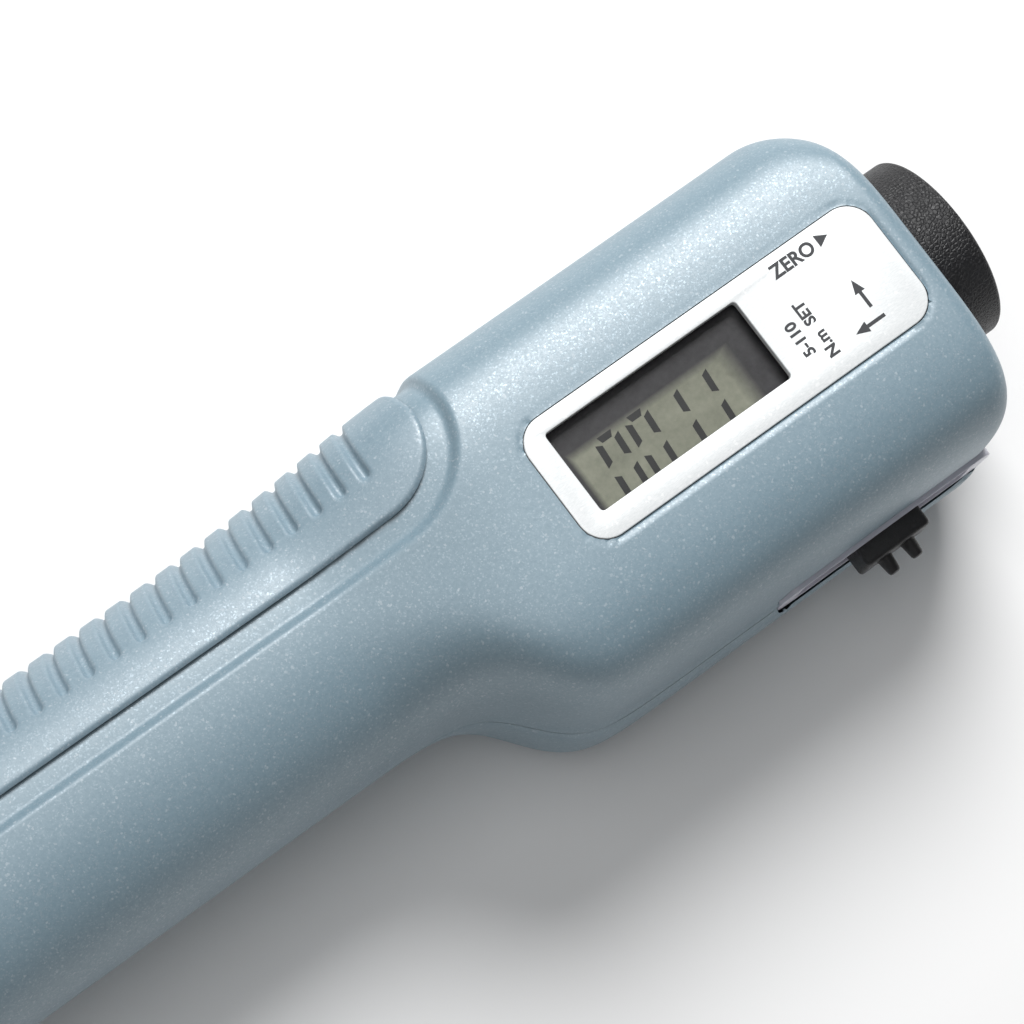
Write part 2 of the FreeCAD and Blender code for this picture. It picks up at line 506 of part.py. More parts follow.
# Battery door in the pod's underside.
CELL_X = PLATE_X - 32.7
DOOR_L = 28.4
DOOR_W = 25.0
DOOR_T = 1.6
BASE_Z = WALL - 0.5                     # inner face of the pod's floor
door_x0, door_x1 = CELL_X - DOOR_L / 2, CELL_X + DOOR_L / 2
door_hole = rounded_block(door_x0, door_x1, -DOOR_W / 2, DOOR_W / 2, -5, BASE_Z + 1, 3.0)
lower_shell = lower.cut([door_hole] + shank_holes + head_holes)
lower_shell.exportStep("parts/lower_shell.step")

reach_x, reach_y = DOOR_L / 2 - 0.2, DOOR_W / 2 - 0.2
battery_door = rounded_block(CELL_X - reach_x, CELL_X + reach_x, -reach_y, reach_y, 0.3, 0.3 + DOOR_T, 2.8)
CELL_ROOM = 0.25
DOOR_SCREW_R = 0.9
door_screw_x = CELL_X + COIN_R + CELL_ROOM + DOOR_SCREW_R + 0.5
finger_dent = cyl_y(5, -5, 5, CELL_X - reach_x + 5, -4.3)
door_sink = cyl_z(1.8, -1, 1.1, door_screw_x)
battery_door = battery_door.cut([cyl_z(1.0, -1, 5, door_screw_x), door_sink, finger_dent])
battery_door.exportStep("parts/battery_door.step")
seal_out = rounded_block(CELL_X - reach_x, CELL_X + reach_x, -reach_y, reach_y, 0.3 + DOOR_T, BASE_Z, 2.8)
seal_in = rounded_block(CELL_X - 11.4, CELL_X + 11.4, -11.1, 11.1, 0, 5, 2.0)
door_seal = seal_out.cut([seal_in, cyl_z(1.3, -1, 5, door_screw_x)])
door_seal.exportStep("parts/door_seal.step")
screw(1.7, 0.8, DOOR_SCREW_R, 6.0, door_screw_x, 0, 1.1, 1).exportStep("parts/door_screw.step")

HOLDER_TOP = BASE_Z + COIN_H + 3.4
holder_room = grip_solid(WALL + SEAT, GRIP_X0 + WALL, POD_END - WALL)
battery_holder = rounded_block(CELL_X - 16, CELL_X + 16, -13.6, 13.6, BASE_Z, HOLDER_TOP, 3.0)
cell_pocket = cyl_z(COIN_R + CELL_ROOM, 0, BASE_Z + COIN_H + 1.4, CELL_X)
finger_way = block(CELL_X - 1.7, CELL_X + 1.7, -14, 14, BASE_Z + 1.8, BASE_Z + 2.6)
door_tap = cyl_z(DOOR_SCREW_R, 0, 8, door_screw_x)
battery_holder = battery_holder.common(holder_room).cut([cell_pocket, finger_way, door_tap])
battery_holder.exportStep("parts/battery_holder.step")
coin_cell = cyl_z(COIN_R, BASE_Z + 0.6, BASE_Z + 0.6 + COIN_H, CELL_X)
coin_cell = coin_cell.makeFillet(0.5, [e for e in coin_cell.Edges if abs(e.BoundBox.ZLength) < 1e-6])
coin_cell.exportStep("parts/coin_cell.step")
battery_contacts = []
for way in (-1, 1):
    strip = block(CELL_X - 1.5, CELL_X + 1.5, 13.7, 14.1, BASE_Z + 2.0, BOARD_Z)
    finger = block(CELL_X - 1.5, CELL_X + 1.5, COIN_R + 0.05, 14.0, BASE_Z + 2.0, BASE_Z + 2.4)
    contact = strip.fuse(finger)
    battery_contacts.append(contact if way > 0 else contact.mirror(V(0, 0, 0), V(0, 1, 0)))
Part.makeCompound(battery_contacts).exportStep("parts/battery_contacts.step")

# ---- display stack and electronics -----------------------------------------------------------
plate_y = PLATE_W / 2
display_plate = rounded_block(PLATE_X - PLATE_L, PLATE_X, -plate_y, plate_y, PLATE_Z, TOP_Z, 3.6)
window = rounded_block(WIN[0], WIN[1], WIN[2], WIN[3], PLATE_Z - 1, TOP_Z + 1, 0.5)
display_plate = display_plate.cut(window)
display_plate.exportStep("parts/display_plate.step")

lens = (OPEN[0] + SEAT, OPEN[1] - SEAT, OPEN[2] + SEAT, OPEN[3] - SEAT)
block(lens[0], lens[1], lens[2], lens[3], PLATE_Z - LENS_T, PLATE_Z).exportStep("parts/window_lens.step")
block(lens[0], lens[1], lens[2], lens[3], LCD_Z, LCD_Z + LCD_T).exportStep("parts/lcd_panel.step")
strip_low = block(lens[0] + 1, lens[1] - 1, lens[2] + 0.1, lens[2] + 2.1, BOARD_Z + BOARD_T, LCD_Z)
strip_high = block(lens[0] + 1, lens[1] - 1, lens[3] - 2.1, lens[3] - 0.1, BOARD_Z + BOARD_T, LCD_Z)
Part.makeCompound([strip_low, strip_high]).exportStep("parts/lcd_strips.step")

circuit_board = rounded_block(BOARD_X0, BOARD_X1, -17.6, 17.6, BOARD_Z, BOARD_Z + BOARD_T, 1.5)
board_holes = [cyl_z(1.0, BOARD_Z - 1, BOARD_Z + 3, x, y) for x, y in post_places]
circuit_board = circuit_board.common(holder_room).cut(board_holes)
circuit_board.exportStep("parts/circuit_board.step")
board_screws = [screw(1.7, 1.2, 0.9, 5.2, x, y, BOARD_Z, 1) for x, y in post_places]
Part.makeCompound(board_screws).exportStep("parts/board_screws.step")

WHEEL_MID = WHEEL_X + WHEEL_T / 2
encoder_sensor = block(WHEEL_MID - 3.6, WHEEL_MID + 3.6, -4.5, 4.5, AXIS_Z + 5.0, BOARD_Z)
gate = block(WHEEL_MID - 1.6, WHEEL_MID + 1.6, -6, 6, AXIS_Z, AXIS_Z + 9.0 + 0.6)
encoder_sensor = encoder_sensor.cut(gate)
encoder_sensor.exportStep("parts/encoder_sensor.step")
buzzer = cyl_z(4.5, BOARD_Z - 4.0, BOARD_Z, PLATE_X - 24.4, -10.4)
buzzer = buzzer.cut(cyl_z(0.8, BOARD_Z - 4.5, BOARD_Z - 3, PLATE_X - 24.4, -10.4))
buzzer.exportStep("parts/buzzer.step")

# ---- slider, track and front collar ----------------------------------------------------------
TRACK_T = 0.7
slider_track = block(SLOT_X0 + SEAT, SLOT_X1 - SEAT, TRACK_Y - TRACK_T, TRACK_Y, SPLIT_Z - 3.3, SPLIT_Z + 3.3)
slider_track = slider_track.makeFillet(2.9, [e for e in slider_track.Edges if abs(e.BoundBox.YLength) > 0.6])
slider_track = slider_track.cut(slit)
slider_track.exportStep("parts/slider_track.step")

BUTTON_Y = -POD_Y_SLIDE - 2.1
rub = TRACK_Y - TRACK_T - 0.2
button = block(SLIDER_X - SLIDER_L / 2, SLIDER_X + SLIDER_L / 2, BUTTON_Y, rub, SPLIT_Z - 2.8, SPLIT_Z + 2.8)
button = button.makeFillet(0.8, [e for e in button.Edges if e.BoundBox.YMax < BUTTON_Y + 0.1])
foot_y = -POD_Y_SLIDE + WALL + LIP + GAP
stem = block(SLIDER_X - 2, SLIDER_X + 2, rub - 0.5, foot_y + 0.5, SPLIT_Z - 0.9, SPLIT_Z + 0.9)
foot = block(SLIDER_X - 2.6, SLIDER_X + 2.6, foot_y, foot_y + 0.8, SPLIT_Z - 2.2, SPLIT_Z + 2.2)
pegs = []
for x in (SLIDER_X - 1.8, SLIDER_X + 1.8):
    pegs.append(Part.makeCone(1.0, 0.8, 2.6, V(x, BUTTON_Y + 0.3, SPLIT_Z), V(0, -1, 0)))
lock_slider = button.fuse([stem, foot] + pegs)
lock_slider.exportStep("parts/lock_slider.step")

COLLAR_R = TUBE_OD / 2 + 2.6
front_collar = cyl_x(COLLAR_R, GRIP_X0 - 3.5, GRIP_X0).cut(cyl_x(TUBE_OD / 2 + RUN, 0, FAR))
rim = [e for e in front_collar.Edges if e.BoundBox.XMax < GRIP_X0 - 3 and e.BoundBox.YMax > COLLAR_R - 0.1]
front_collar = front_collar.makeFillet(1.2, rim)
front_collar.exportStep("parts/front_collar.step")
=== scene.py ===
import json
import math

import bmesh
import bpy
import numpy as np
from mathutils import Matrix, Vector


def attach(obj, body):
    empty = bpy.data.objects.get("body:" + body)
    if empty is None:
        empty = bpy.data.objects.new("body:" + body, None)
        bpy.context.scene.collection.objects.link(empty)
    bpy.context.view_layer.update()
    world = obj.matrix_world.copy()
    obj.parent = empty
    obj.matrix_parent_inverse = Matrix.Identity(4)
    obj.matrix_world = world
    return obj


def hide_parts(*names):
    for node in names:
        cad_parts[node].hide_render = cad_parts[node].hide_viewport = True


with open("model.json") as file:
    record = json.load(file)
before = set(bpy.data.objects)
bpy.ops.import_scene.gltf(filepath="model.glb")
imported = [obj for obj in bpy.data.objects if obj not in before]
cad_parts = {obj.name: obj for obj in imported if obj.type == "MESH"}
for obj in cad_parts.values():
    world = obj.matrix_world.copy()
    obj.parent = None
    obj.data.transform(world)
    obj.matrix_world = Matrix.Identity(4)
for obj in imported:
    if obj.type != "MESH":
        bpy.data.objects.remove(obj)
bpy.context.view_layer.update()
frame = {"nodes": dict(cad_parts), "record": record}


MM = 0.001
# ------------------------------------------------------------------ sizes shared with the solids, millimetres
OVERALL_L, AXIS_Z = 390.0, 23.0
GRIP_L, GRIP_W, GRIP_TOP, GRIP_DEPTH, GRIP_SHIFT = 199.0, 34.4, 16.3, 16.5, 4.2
POD_TOP, POD_Y, POD_Y_SLIDE, WALL, LIP = 20.0, 22.9, 24.9, 3.2, 1.0
KNOB_R, KNOB_OUT = 12.4, 8.6
PLATE_L, PLATE_W, PLATE_T = 51.4, 16.8, 1.2
NOTCH_PITCH = 3.63
POD_END = OVERALL_L - KNOB_OUT
PLATE_X = POD_END - 3.5
GRIP_X0 = POD_END - GRIP_L
SPLIT_Z = AXIS_Z - 3.5
TOP_Z = AXIS_Z + POD_TOP
PLATE_Z = TOP_Z - PLATE_T
PAD_X0, PAD_X1, PAD_Y, GROOVE_W = GRIP_X0 + 10.0, PLATE_X - 58.4, 8.9, 3.6
WIN = (PLATE_X - 48.2, PLATE_X - 19.9, -5.0, 6.25)
PAD_R, PLATE_R, SLOT_R = 9.6, 3.7, 3.0   # corner radii of the pad, the plate's pocket and the slider's slot
PAD_T = 2.0
TUBE_WAY_R = 9.15
SLIDER_X, SLIDER_L, SLIDER_H = PLATE_X - 14.9, 9.8, 5.6
SLIDER_OUT = 2.1                        # how far the slide button stands out of the pod
SLOT_X0, SLOT_X1, SLOT_H = PLATE_X - 31.4, PLATE_X + 2.0, 6.8
TRACK_Y = -POD_Y_SLIDE + 2.3
TRACK_T = 0.7
CELL_X, DOOR_L, DOOR_W = PLATE_X - 32.7, 28.4, 25.0
HEAD_REST = SPLIT_Z - 8.0               # where the shell screws' heads bear
SCREW_HEAD_R, SCREW_HEAD_H, SCREW_SHANK_R, SCREW_SHANK_L = 2.35, 1.8, 1.25, 16.0
SCREW_WAY_R = 2.45
GRIP_SCREWS = [(GRIP_X0 + d, 13.4) for d in (22.0, 60.0, 112.0)]
SHELL_SCREWS = GRIP_SCREWS + [(PLATE_X - 3.6, -16.0), (PLATE_X - 3.6, 16.0)]
LENS_T = 0.9


# ------------------------------------------------------------------ shader maths
class Tree:
    """A material's nodes, with a method for any node: settings first, then sockets."""

    def __init__(self, name):
        self.mat = bpy.data.materials.new(name)
        self.mat.use_nodes = True
        self.nt = self.mat.node_tree
        self.nt.nodes.clear()

    def plug(self, socket, value):
        if isinstance(value, Val):
            self.nt.links.new(value.out, socket)
        else:
            socket.default_value = value

    def node(self, kind, out=0, settings=None, **sockets):
        n = self.nt.nodes.new("ShaderNode" + kind)
        for k, v in (settings or {}).items():
            setattr(n, k, v)
        for k, v in sockets.items():
            key = k.replace("_", " ") if not k.startswith("i") or not k[1:].isdigit() else int(k[1:])
            self.plug(n.inputs[key], v)
        return Val(self, n.outputs[out])

    def math(self, op, *args):
        n = self.nt.nodes.new("ShaderNodeMath")
        n.operation = op
        for i, a in enumerate(args):
            self.plug(n.inputs[i], a)
        return Val(self, n.outputs[0])

    def mix(self, fac, a, b):
        n = self.nt.nodes.new("ShaderNodeMix")
        n.data_type = "RGBA"
        self.plug(n.inputs[0], fac)
        self.plug(n.inputs[6], a)
        self.plug(n.inputs[7], b)
        return Val(self, n.outputs[2])

    def ramp(self, value, low, high):
        """0 below low, 1 above high, straight between."""
        n = self.nt.nodes.new("ShaderNodeMapRange")
        self.plug(n.inputs[0], value)
        n.inputs[1].default_value, n.inputs[2].default_value = low, high
        return Val(self, n.outputs[0])

    def place(self):
        return self.node("TexCoord", out=3)

    def split(self, vector):
        n = self.nt.nodes.new("ShaderNodeSeparateXYZ")
        self.plug(n.inputs[0], vector)
        return [Val(self, n.outputs[i]) for i in range(3)]

    def stretch(self, vector, scale):
        n = self.nt.nodes.new("ShaderNodeMapping")
        self.plug(n.inputs[0], vector)
        n.inputs[3].default_value = scale
        return Val(self, n.outputs[0])

    def noise(self, vector, scale, detail=3.0, rough=0.5):
        return self.node("TexNoise", Vector=vector, Scale=scale, Detail=detail, Roughness=rough)

    def cells(self, vector, scale, out="Color", feature="F1"):
        return self.node("TexVoronoi", out=out, settings={"feature": feature}, Vector=vector, Scale=scale)

    def bump(self, height, depth, strength=1.0, normal=None):
        n = self.nt.nodes.new("ShaderNodeBump")
        n.inputs["Strength"].default_value = strength
        n.inputs["Distance"].default_value = depth
        self.plug(n.inputs["Height"], height)
        if normal:
            self.plug(n.inputs["Normal"], normal)
        return Val(self, n.outputs[0])

    def finish(self, **sockets):
        n = self.nt.nodes.new("ShaderNodeBsdfPrincipled")
        for k, v in sockets.items():
            self.plug(n.inputs[k.replace("_", " ")], v)
        out = self.nt.nodes.new("ShaderNodeOutputMaterial")
        self.nt.links.new(n.outputs[0], out.inputs[0])
        return self.mat


class Val:
    def __init__(self, tree, out):
        self.tree, self.out = tree, out

    def __add__(self, o):
        return self.tree.math("ADD", self, o)

    __radd__ = __add__

    def __sub__(self, o):
        return self.tree.math("SUBTRACT", self, o)

    def __rsub__(self, o):
        return self.tree.math("SUBTRACT", o, self)

    def __mul__(self, o):
        return self.tree.math("MULTIPLY", self, o)

    __rmul__ = __mul__


def rgb(r, g, b):
    """Colour from display values 0 to 255."""
    lin = lambda v: (v / 255 / 12.92) if v / 255 <= 0.04045 else ((v / 255 + 0.055) / 1.055) ** 2.4
    return (lin(r), lin(g), lin(b), 1.0)


def glitter_plastic(name, pale, deep, seed):
    """Pale moulded plastic full of fine bright flakes under a soft skin."""
    t = Tree(name)
    p = t.place()
    flake_a = t.split(t.cells(p, 5600.0 + seed))
    flake_b = t.split(t.cells(p, 3900.0 + seed))
    cloud = t.noise(p, 2100.0, 4.0, 0.7)
    broad = t.noise(p, 60.0, 3.0, 0.5)
    base = t.mix(t.ramp(cloud * 0.8 + broad * 0.2, 0.34, 0.68), deep, pale)
    bright = t.ramp(flake_a[0], 0.80, 0.98)
    brighter = t.ramp(flake_b[1], 0.965, 0.99)
    color = t.mix(bright * 0.16, base, rgb(222, 230, 236))
    color = t.mix(brighter * 0.18, color, rgb(238, 243, 246))
    color = t.mix(t.ramp(flake_a[2], 0.86, 0.99) * 0.12, color, rgb(92, 112, 128))
    skin = t.bump(t.noise(p, 1100.0, 3.0, 0.6), 0.00004, 0.25)
    rough = t.ramp(flake_b[0], 0.0, 1.0) * 0.08 + 0.40 - bright * 0.04
    tilt = t.bump(flake_a[1], 0.00002, 0.22, skin)
    return t.finish(Base_Color=color, Roughness=rough, Normal=tilt, Metallic=bright * 0.2,
                    Specular_IOR_Level=1.0)


def black_grain(name, grain, depth, rough):
    t = Tree(name)
    p = t.place()
    pits = t.cells(p, grain, out="Distance", feature="DISTANCE_TO_EDGE")
    leather = t.ramp(pits, 0.0, 0.25)
    fine = t.noise(p, grain * 3.2, 3.0, 0.6)
    color = t.mix(t.noise(p, 300.0, 3.0), rgb(14, 14, 16), rgb(27, 27, 30))
    return t.finish(Base_Color=color, Roughness=leather * 0.10 + fine * 0.16 + (rough - 0.12),
                    Normal=t.bump(leather * 0.7 + fine * 0.3, depth, 0.8), Specular_IOR_Level=0.5)


def metal(name, color, rough, brush=(1, 1, 1), scale=900.0, depth=0.000004):
    t = Tree(name)
    p = t.place()
    lines = t.noise(t.stretch(p, brush), scale, 4.0, 0.6)
    stain = t.noise(p, 90.0, 3.0, 0.5)
    dark = tuple(c * 0.82 for c in color[:3]) + (1.0,)
    return t.finish(Base_Color=t.mix(t.ramp(stain, 0.35, 0.7), dark, color), Metallic=1.0,
                    Roughness=lines * 0.12 + stain * 0.08 + (rough - 0.10), Normal=t.bump(lines, depth, 0.5))


def plain_moulded(name, color, rough, scale=700.0, depth=0.00003):
    t = Tree(name)
    p = t.place()
    n = t.noise(p, scale, 4.0, 0.6)
    dark = tuple(c * 0.85 for c in color[:3]) + (1.0,)
    return t.finish(Base_Color=t.mix(n, dark, color), Roughness=n * 0.12 + (rough - 0.06),
                    Normal=t.bump(n, depth, 0.5))


def display_glass():
    """Reflective display: olive ground, painted shade and painted dark reflection of the window's frame along
    its top and right, a dark strip along its left edge, faint cross-hatch of the polariser.
    """
    t = Tree("lcd ground")
    p = t.place()
    x, y, z = t.split(p)
    grain = t.noise(p, 1400.0, 3.0, 0.7)
    sheen = t.noise(t.stretch(p, (1.0, 2.0, 1.0)), 120.0, 3.0, 0.6)
    olive = t.mix(t.ramp(sheen * 0.6 + grain * 0.4, 0.30, 0.70), rgb(112, 114, 100), rgb(142, 144, 128))
    # Painted shade and painted dark reflection of the window's frame: the display is dark along its top and
    # its right side, with a dark strip along its left edge.
    shade_top = t.ramp(y, 0.0019, 0.0031)
    shade_right = t.ramp(x, (WIN[1] - 5.6) * MM, (WIN[1] - 3.2) * MM)
    left = 1.0 - t.ramp(x, (WIN[0] + 0.9) * MM, (WIN[0] + 1.7) * MM)
    mask = t.math("MAXIMUM", t.math("MAXIMUM", shade_top, shade_right), left)
    # Near-black colour of the painted shade, the painted reflection and the left strip.
    black = t.mix(grain, rgb(34, 33, 35), rgb(62, 61, 64))
    return t.finish(Base_Color=t.mix(mask, olive, black), Roughness=grain * 0.15 + 0.28,
                    Normal=t.bump(grain, 0.00001, 0.4))


def clear_lens():
    t = Tree("clear lens")
    p = t.place()
    haze = t.noise(p, 500.0, 3.0, 0.6)
    return t.finish(Base_Color=rgb(250, 252, 250), Roughness=haze * 0.03 + 0.02,
                    Transmission_Weight=1.0, IOR=1.2,
                    Alpha=t.ramp(haze, 0.0, 1.0) * 0.04 + 0.10, Specular_IOR_Level=0.3)


def plate_metal():
    t = Tree("silver plate")
    p = t.place()
    grain = t.noise(t.stretch(p, (1.0, 5.0, 1.0)), 2200.0, 3.0, 0.6)
    spark = t.split(t.cells(p, 3300.0))
    color = t.mix(t.ramp(grain, 0.3, 0.7), rgb(222, 226, 227), rgb(238, 240, 241))
    color = t.mix(t.ramp(spark[0], 0.93, 0.99) * 0.5, color, rgb(252, 253, 253))
    return t.finish(Base_Color=color, Metallic=0.15, Roughness=grain * 0.12 + 0.34,
                    Normal=t.bump(grain, 0.000006, 0.4))


def board_material():
    t = Tree("solder mask")
    p = t.place()
    x, y, z = t.split(p)
    wire_x = t.math("PINGPONG", x, 0.0011)
    trace = t.ramp(wire_x, 0.00040, 0.00055) * t.ramp(t.noise(p, 260.0, 2.0), 0.48, 0.52)
    color = t.mix(trace, rgb(10, 70, 34), rgb(28, 112, 58))
    return t.finish(Base_Color=color, Roughness=t.noise(p, 800.0) * 0.1 + 0.3,
                    Normal=t.bump(trace, 0.00003, 0.6))


SHELL = glitter_plastic("glitter plastic", rgb(132, 154, 166), rgb(118, 142, 155), 0.0)
PAD = glitter_plastic("glitter plastic pad", rgb(134, 155, 167), rgb(120, 143, 156), 40.0)
KNOB_BLACK = black_grain("grained black", 2100.0, 0.00010, 0.46)
BLACK = black_grain("smooth black", 4200.0, 0.00004, 0.36)
PLATE = plate_metal()
TRACK = plain_moulded("pale track", rgb(214, 214, 226), 0.30)
PRINT = plain_moulded("print ink", rgb(52, 54, 58), 0.55)
SEGMENT = plain_moulded("display segment", rgb(30, 31, 32), 0.35)
LCD = display_glass()
LENS = clear_lens()
CHROME = metal("satin chrome", rgb(205, 207, 210), 0.20, (1.0, 6.0, 6.0))
STEEL = metal("machined steel", rgb(170, 172, 175), 0.34, (6.0, 1.0, 1.0))
SPRING = metal("oiled spring steel", rgb(96, 96, 100), 0.36)
BRASS = metal("brass", rgb(205, 170, 96), 0.28)
BOARD = board_material()
RUBBER = plain_moulded("rubber", rgb(34, 34, 35), 0.75)
DARK = plain_moulded("dark moulding", rgb(52, 53, 56), 0.5)

BY_SLOT = {
    "shell_plastic": SHELL, "pad_plastic": PAD, "black_plastic": BLACK, "silver_plate": PLATE,
    "track_plastic": TRACK, "lens": LENS, "lcd": LCD, "chrome_steel": CHROME, "steel": STEEL,
    "spring_steel": SPRING, "brass": BRASS, "board": BOARD, "rubber": RUBBER, "dark_plastic": DARK,
}
slot_of = {s["node"]: s["material_slot"] for s in frame["record"]["subparts"]}
for name, obj in frame["nodes"].items():
    obj.data.materials.clear()
    obj.data.materials.append(BY_SLOT[slot_of[name]])


# ------------------------------------------------------------------ the grip's form
def smooth(u, a, b):
    t = np.clip((u - a) / (b - a), 0.0, 1.0)
    return t * t * (3 - 2 * t)


def corner(distance, radius):
    d = np.clip(radius - distance, 0.0, radius)
    return radius - np.sqrt(np.maximum(0.0, radius * radius - d * d))


def ring(x, count, inset=0.0):
    """Points round the grip's section at x, evenly spaced along its edge."""
    u = x - PLATE_X
    pod = smooth(u, -82, -56)
    mid_y = GRIP_SHIFT * (1 - pod)
    mid_z = AXIS_Z - 3.5 * pod
    flare = (1 + np.tanh((u + 65.0) / 5.2)) / 2
    low_y = GRIP_W / 2 - GRIP_SHIFT
    y0 = -(low_y + (POD_Y_SLIDE - low_y) * flare)
    y1 = GRIP_W / 2 + GRIP_SHIFT + (POD_Y - GRIP_W / 2 - GRIP_SHIFT) * smooth(u, -95, -58)
    z1 = AXIS_Z + GRIP_TOP + (POD_TOP - GRIP_TOP) * pod
    z0 = AXIS_Z - GRIP_DEPTH - (AXIS_Z + 0.5 - GRIP_DEPTH) * smooth(u, -88, -54)
    front, back = x - GRIP_X0, POD_END - x
    nose = corner(front, 4.0)
    y1 = y1 - corner(back, 9.5) - nose - 5.0 * (1 - smooth(front, 0, 26)) - inset
    y0 = y0 + corner(back, 4.5) + nose + inset
    z1 = z1 - corner(back, 2.5) - nose - inset
    z0 = z0 + corner(back, 2.5) + nose + inset
    power = 2.3 + 2.2 * pod
    t = np.linspace(0, 2 * math.pi, 1441)
    c, s = np.cos(t), np.sin(t)
    y = mid_y + np.sign(c) * np.abs(c) ** (2 / power) * np.where(c >= 0, y1 - mid_y, mid_y - y0)
    z = mid_z + np.sign(s) * np.abs(s) ** (2 / power) * np.where(s >= 0, z1 - mid_z, mid_z - z0)
    y = y + np.where(c < 0, LIP * pod * smooth(z - AXIS_Z, -6.0, -0.5) * np.minimum(1.0, -2 * c), 0.0)
    run = np.concatenate([[0], np.cumsum(np.hypot(np.diff(y), np.diff(z)))])
    even = np.linspace(0, run[-1], count + 1)[:-1]
    return np.stack([np.full(count, float(x)), np.interp(even, run, y), np.interp(even, run, z)], 1)


def stations(steps):
    """Stations from runs of (from, to, spacing), with both ends rounded finely."""
    out = []
    for a, b, d in steps:
        n = max(1, int(round((b - a) / d)))
        out += [a + (b - a) * k / n for k in range(n)]
    return out + [steps[-1][1]]


def surface(xs, count, field=None, inset=0.0):
    grid = np.stack([ring(x, count, inset) for x in xs])
    if field is None:
        return grid
    along = np.gradient(grid, axis=0)
    across = np.roll(grid, -1, axis=1) - np.roll(grid, 1, axis=1)
    normal = np.cross(across, along)
    normal /= np.maximum(1e-9, np.linalg.norm(normal, axis=2, keepdims=True))
    return grid - normal * field(grid[..., 0], grid[..., 1], grid[..., 2])[..., None]


def make_object(name, verts, faces, material, smooth_shade=True):
    mesh = bpy.data.meshes.new(name)
    mesh.from_pydata([tuple(v) for v in np.asarray(verts) * MM], [], [tuple(f) for f in faces])
    mesh.update()
    obj = bpy.data.objects.new(name, mesh)
    bpy.context.scene.collection.objects.link(obj)
    if material:
        mesh.materials.append(material)
    mesh.shade_smooth() if smooth_shade else mesh.shade_flat()
    return obj


def closed_skin(name, grid, material):
    """Closed body from rings: quads between rings, fans at both ends, faces outward."""
    rows, cols, _ = grid.shape
    verts = np.concatenate([grid.reshape(-1, 3), grid[0].mean(0)[None], grid[-1].mean(0)[None]])
    i, j = np.meshgrid(np.arange(rows - 1), np.arange(cols), indexing="ij")
    a = i * cols + j
    b = i * cols + (j + 1) % cols
    quads = np.stack([a, b, b + cols, a + cols], -1).reshape(-1, 4)[:, ::-1]
    ends = []
    for k in range(cols):
        n = (k + 1) % cols
        ends.append((rows * cols, k, n)[::-1])
        ends.append((rows * cols + 1, (rows - 1) * cols + n, (rows - 1) * cols + k)[::-1])
    return make_object(name, verts, [tuple(q) for q in quads.tolist()] + ends, material)


def outline_prism(name, points, low, high, axis="z"):
    """Closed prism over an outline given in the two other axes."""
    n = len(points)
    verts = []
    for level in (low, high):
        for p, q in points:
            verts.append((p, q, level) if axis == "z" else (p, level, q) if axis == "y" else (level, p, q))
    faces = [tuple(range(n))[::-1], tuple(range(n, 2 * n))]
    faces += [(k, (k + 1) % n, n + (k + 1) % n, n + k) for k in range(n)]
    obj = make_object(name, verts, faces, None, False)
    fix_normals(obj)
    return obj


def fix_normals(obj):
    bm = bmesh.new()
    bm.from_mesh(obj.data)
    bmesh.ops.recalc_face_normals(bm, faces=bm.faces)
    bm.to_mesh(obj.data)
    bm.free()


def rounded(x0, x1, y0, y1, radius, steps=10):
    points = []
    for cx, cy, start in ((x1 - radius, y1 - radius, 0), (x0 + radius, y1 - radius, 90),
                          (x0 + radius, y0 + radius, 180), (x1 - radius, y0 + radius, 270)):
        for k in range(steps + 1):
            turn = math.radians(start + 90 * k / steps)
            points.append((cx + radius * math.cos(turn), cy + radius * math.sin(turn)))
    return points


def circle(cx, cy, radius, steps=96):
    turns = [2 * math.pi * k / steps for k in range(steps)]
    return [(cx + radius * math.cos(t), cy + radius * math.sin(t)) for t in turns]


def baked(obj):
    """Plain mesh of an object with its modifiers worked in."""
    return bpy.data.meshes.new_from_object(obj.evaluated_get(bpy.context.evaluated_depsgraph_get()))


def paint(obj, material):
    obj.data.materials.clear()
    obj.data.materials.append(material)


def combine(obj, other, how):
    """Boolean on plain meshes. The other body is used up."""
    mod = obj.modifiers.new("cut", "BOOLEAN")
    mod.operation = how
    mod.solver = "EXACT"
    mod.object = other
    done = baked(obj)
    obj.modifiers.remove(mod)
    obj.data = done
    bpy.data.objects.remove(other)
    return obj


def copy_of(obj, name):
    twin = obj.copy()
    twin.data = obj.data.copy()
    twin.name = name
    bpy.context.scene.collection.objects.link(twin)
    return twin


def sharpen(obj, angle=40):
    """Smooth shading with true edges kept crisp."""
    obj.data.shade_smooth()
    obj.data.set_sharp_from_angle(angle=math.radians(angle))


# ------------------------------------------------------------------ detail as depth below the form, in mm
def pad_distance(x, y):
    """Signed distance in plan from the pad's outline, negative inside."""
    r = PAD_R
    cx, hx = (PAD_X0 + PAD_X1) / 2, (PAD_X1 - PAD_X0) / 2
    qx = np.abs(x - cx) - hx + r
    qy = (PAD_Y + r) - y
    return np.hypot(np.maximum(qx, 0), np.maximum(qy, 0)) + np.minimum(np.maximum(qx, qy), 0) - r


def roll_off(distance, radius):
    """Depth of a rounded edge that starts at distance 0 and dies out at radius."""
    d = np.clip(radius - distance, 0, radius)
    return radius - np.sqrt(np.maximum(0, radius * radius - d * d))


def plate_distance(x, y):
    r = PLATE_R
    qx = np.abs(x - (PLATE_X - PLATE_L / 2)) - PLATE_L / 2 - 0.15 + r
    qy = np.abs(y) - PLATE_W / 2 - 0.15 + r
    return np.hypot(np.maximum(qx, 0), np.maximum(qy, 0)) + np.minimum(np.maximum(qx, qy), 0) - r


def slot_distance(x, z):
    r = SLOT_R
    qx = np.abs(x - (SLOT_X0 + SLOT_X1) / 2) - (SLOT_X1 - SLOT_X0) / 2 + r
    qz = np.abs(z - SPLIT_Z) - SLOT_H / 2 + r
    return np.hypot(np.maximum(qx, 0), np.maximum(qz, 0)) + np.minimum(np.maximum(qx, qz), 0) - r


